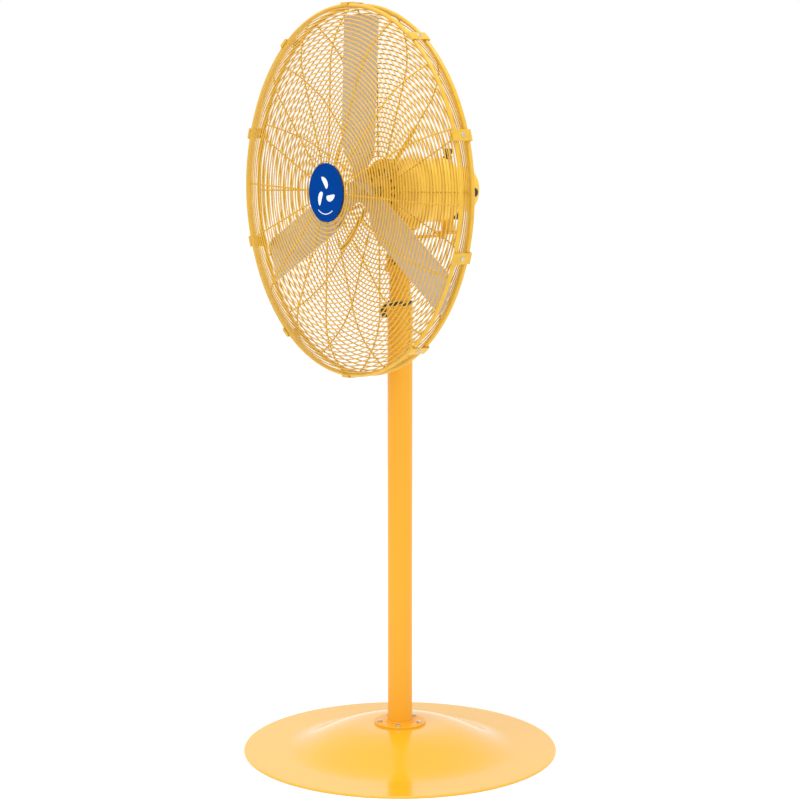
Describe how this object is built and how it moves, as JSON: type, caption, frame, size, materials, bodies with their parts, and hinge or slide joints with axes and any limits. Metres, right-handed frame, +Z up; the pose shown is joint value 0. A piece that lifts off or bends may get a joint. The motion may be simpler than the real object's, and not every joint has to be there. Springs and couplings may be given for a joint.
{
  "type": "pedestal fan",
  "caption": "Industrial oscillating pedestal fan: riveted aluminium blades in a round wire cage on a telescoping column with a spun steel foot.",
  "frame": {"origin": "on the floor, under the centre of the foot and the column's axis", "axes": "+Z up, the fan blows towards -Y, +X to the right seen from the front"},
  "size_m": [0.802, 0.7112, 1.6735],
  "materials": {
    "yellow_paint": "semi-gloss powder coat",
    "black_plastic": "satin moulded",
    "zinc_steel": "zinc plated",
    "blade_aluminium": "mill finish",
    "badge_blue": "gloss printed plate",
    "core_steel": "laminated",
    "copper": "varnished winding",
    "bronze": "machined"
  },
  "bodies": {
    "stand": {"foot_plate": "yellow_paint", "column_flange": "yellow_paint", "column_tube": "yellow_paint", "column_bush": "black_plastic", "foot_bolts": "zinc_steel", "foot_nuts": "zinc_steel"},
    "height_knob": {"height_knob": "black_plastic", "height_knob_stud": "zinc_steel"},
    "mast": {"mast_tube": "yellow_paint", "mast_guide": "black_plastic", "mast_head": "yellow_paint", "mast_head_screws": "zinc_steel", "tilt_bolt": "zinc_steel"},
    "tilt_knob": {"tilt_knob": "black_plastic"},
    "neck": {"neck_casting": "yellow_paint", "swivel_pin": "zinc_steel", "thrust_washer": "black_plastic"},
    "link": {"link_rod": "yellow_paint", "link_bolt": "zinc_steel"},
    "head": {"motor_shell": "yellow_paint", "front_end_bell": "yellow_paint", "rear_end_bell": "yellow_paint", "motor_tie_rods": "zinc_steel", "bearing_outer_races": "zinc_steel", "bearing_balls": "zinc_steel", "stator_core": "core_steel", "stator_windings": "copper", "motor_saddle": "yellow_paint", "saddle_screws": "zinc_steel", "gearbox_housing": "yellow_paint", "gearbox_cover": "yellow_paint", "gearbox_screws": "zinc_steel", "cable_gland": "black_plastic", "run_capacitor": "black_plastic", "speed_switch": "black_plastic", "guard_struts": "yellow_paint", "strut_bolts": "zinc_steel", "front_guard": "yellow_paint", "rear_guard": "yellow_paint", "rim_clips": "yellow_paint", "rim_clip_screws": "zinc_steel", "badge": "badge_blue", "badge_keeper": "yellow_paint"},
    "rotor": {"bearing_inner_races": "zinc_steel", "rotor_shaft": "zinc_steel", "rotor_core": "core_steel", "worm": "zinc_steel", "blade_spider": "blade_aluminium", "spider_set_screw": "zinc_steel", "blade_1": "blade_aluminium", "blade_2": "blade_aluminium", "blade_3": "blade_aluminium", "blade_rivets": "blade_aluminium"},
    "worm_wheel": {"worm_wheel": "bronze"},
    "crank": {"crank_shaft": "zinc_steel", "crank_disc": "yellow_paint"},
    "clutch": {"clutch_knob": "black_plastic", "clutch_stem": "zinc_steel"},
    "speed_knob": {"speed_knob": "black_plastic"}
  },
  "joints": [
    {"name": "mast_height", "type": "slide", "parent": "stand", "child": "mast", "axis": [0, 0, 1], "range_m": [-0.06, 0.4]},
    {"name": "height_knob_turn", "type": "hinge", "parent": "stand", "child": "height_knob", "pos_m": [0, 0, 0.999], "axis": [-1, 0, 0], "range_deg": [-360, 0]},
    {"name": "tilt", "type": "hinge", "parent": "mast", "child": "neck", "pos_m": [0, 0, 1.127], "axis": [1, 0, 0], "range_deg": [-20, 4]},
    {"name": "tilt_knob_turn", "type": "hinge", "parent": "mast", "child": "tilt_knob", "pos_m": [0, 0, 1.127], "axis": [1, 0, 0], "range_deg": [-360, 0]},
    {"name": "oscillation", "type": "hinge", "parent": "neck", "child": "head", "pos_m": [0, 0, 1.166], "axis": [0, 0, 1], "range_deg": [-35, 35]},
    {"name": "link_swing", "type": "hinge", "parent": "neck", "child": "link", "pos_m": [-0.038, 0, 1.162], "axis": [0, 0, 1], "range_deg": [-36, 36]},
    {"name": "crank_turn", "type": "hinge", "parent": "head", "child": "crank", "pos_m": [-0.022, 0.15, 1.2], "axis": [0, 0, 1], "range_deg": [-85, 85]},
    {"name": "clutch_pull", "type": "slide", "parent": "head", "child": "clutch", "axis": [0, 0, 1], "range_m": [0, 0.006]},
    {"name": "speed_knob_turn", "type": "hinge", "parent": "head", "child": "speed_knob", "pos_m": [0.06, 0.158, 1.263], "axis": [1, 0, 0], "range_deg": [0, 90]},
    {"name": "blade_spin", "type": "hinge", "parent": "head", "child": "rotor", "pos_m": [0, 0, 1.268], "axis": [0, -1, 0], "continuous": true},
    {"name": "worm_wheel_spin", "type": "hinge", "parent": "head", "child": "worm_wheel", "pos_m": [-0.022, 0.15, 1.268], "axis": [0, 0, 1], "continuous": true}
  ],
  "couplings": [
    {"joint": "link_swing", "follows": "oscillation", "ratio": 1},
    {"joint": "crank_turn", "follows": "oscillation", "ratio": -2.3},
    {"joint": "worm_wheel_spin", "follows": "blade_spin", "ratio": 0.033333}
  ]
}
